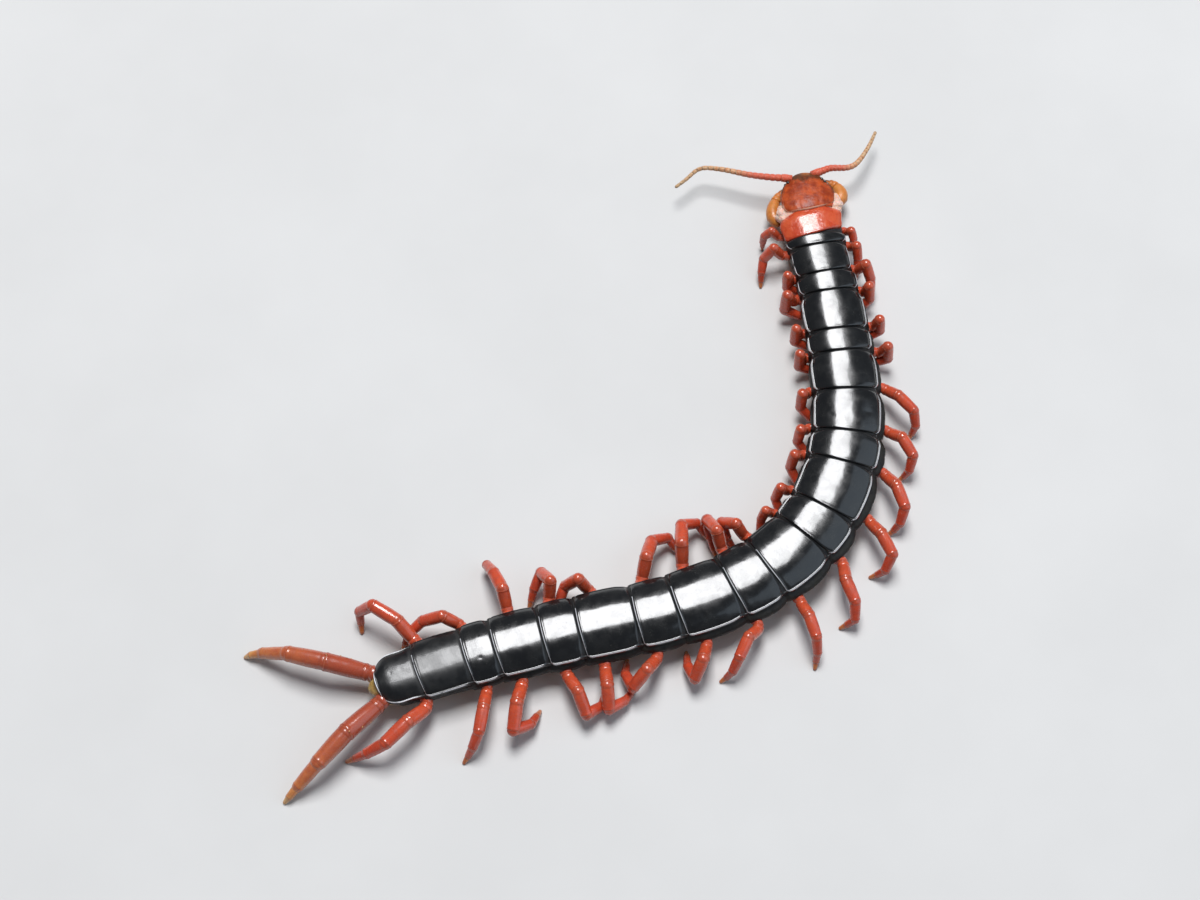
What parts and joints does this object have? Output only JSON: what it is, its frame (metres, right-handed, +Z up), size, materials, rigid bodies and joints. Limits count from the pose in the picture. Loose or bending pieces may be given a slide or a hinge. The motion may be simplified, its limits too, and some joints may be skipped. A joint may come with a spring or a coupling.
{
  "type": "giant centipede",
  "caption": "Life-size still giant centipede in a bent crawl, with glossy black back plates, a red head and coral legs, long trailing last legs and two feelers.",
  "frame": {"origin": "on the floor, under the middle of the animal's bounding box", "axes": "+Z up; the head points to +Y, the body bends once and the last legs trail towards -X and -Y"},
  "size_m": [0.1106, 0.1214, 0.0079],
  "materials": {
    "head_shield": "glossy red-brown horn, darker at the front edge",
    "first_plate": "glossy orange-red horn",
    "back_plate": "glossy black horn with fine cross lines and a raised rim",
    "flank": "dull black-grey folded skin of the sides",
    "belly": "satin ochre-brown belly plates with two fine grooves",
    "membrane": "pale pink soft skin behind the head",
    "leg": "glossy coral red horn, darker towards the feet",
    "tail_leg": "glossy orange-brown horn with amber ends",
    "fang": "glossy amber horn with black tips",
    "fang_base": "glossy orange-brown horn",
    "feeler": "red horn at the root, tan and finely downy beyond",
    "claw": "dark brown polished claw",
    "eye": "black bead"
  },
  "bodies": {
    "root": {"head": "head_shield", "antenna_left": "feeler", "antenna_right": "feeler", "forcipule_base": "fang_base", "forcipule_left": "fang", "forcipule_right": "fang", "trunk_01": "first_plate", "trunk_02_03": "back_plate", "trunk_04_05": "back_plate", "trunk_06_07": "back_plate", "trunk_08_09": "back_plate", "trunk_10_11": "back_plate", "trunk_12_13": "back_plate", "trunk_14_15": "back_plate", "trunk_16_17": "back_plate", "trunk_18_19": "back_plate", "trunk_20_21": "back_plate", "leg_01_left": "leg", "leg_01_right": "leg", "leg_02_left": "leg", "leg_02_right": "leg", "leg_03_left": "leg", "leg_03_right": "leg", "leg_04_left": "leg", "leg_04_right": "leg", "leg_05_left": "leg", "leg_05_right": "leg", "leg_06_left": "leg", "leg_06_right": "leg", "leg_07_left": "leg", "leg_07_right": "leg", "leg_08_left": "leg", "leg_08_right": "leg", "leg_09_left": "leg", "leg_09_right": "leg", "leg_10_left": "leg", "leg_10_right": "leg", "leg_11_left": "leg", "leg_11_right": "leg", "leg_12_left": "leg", "leg_12_right": "leg", "leg_13_left": "leg", "leg_13_right": "leg", "leg_14_left": "leg", "leg_14_right": "leg", "leg_15_left": "leg", "leg_15_right": "leg", "leg_16_left": "leg", "leg_16_right": "leg", "leg_17_left": "leg", "leg_17_right": "leg", "leg_18_left": "leg", "leg_18_right": "leg", "leg_19_left": "leg", "leg_19_right": "leg", "leg_20_left": "leg", "leg_20_right": "leg", "leg_21_left": "tail_leg", "leg_21_right": "tail_leg"}
  },
  "joints": []
}
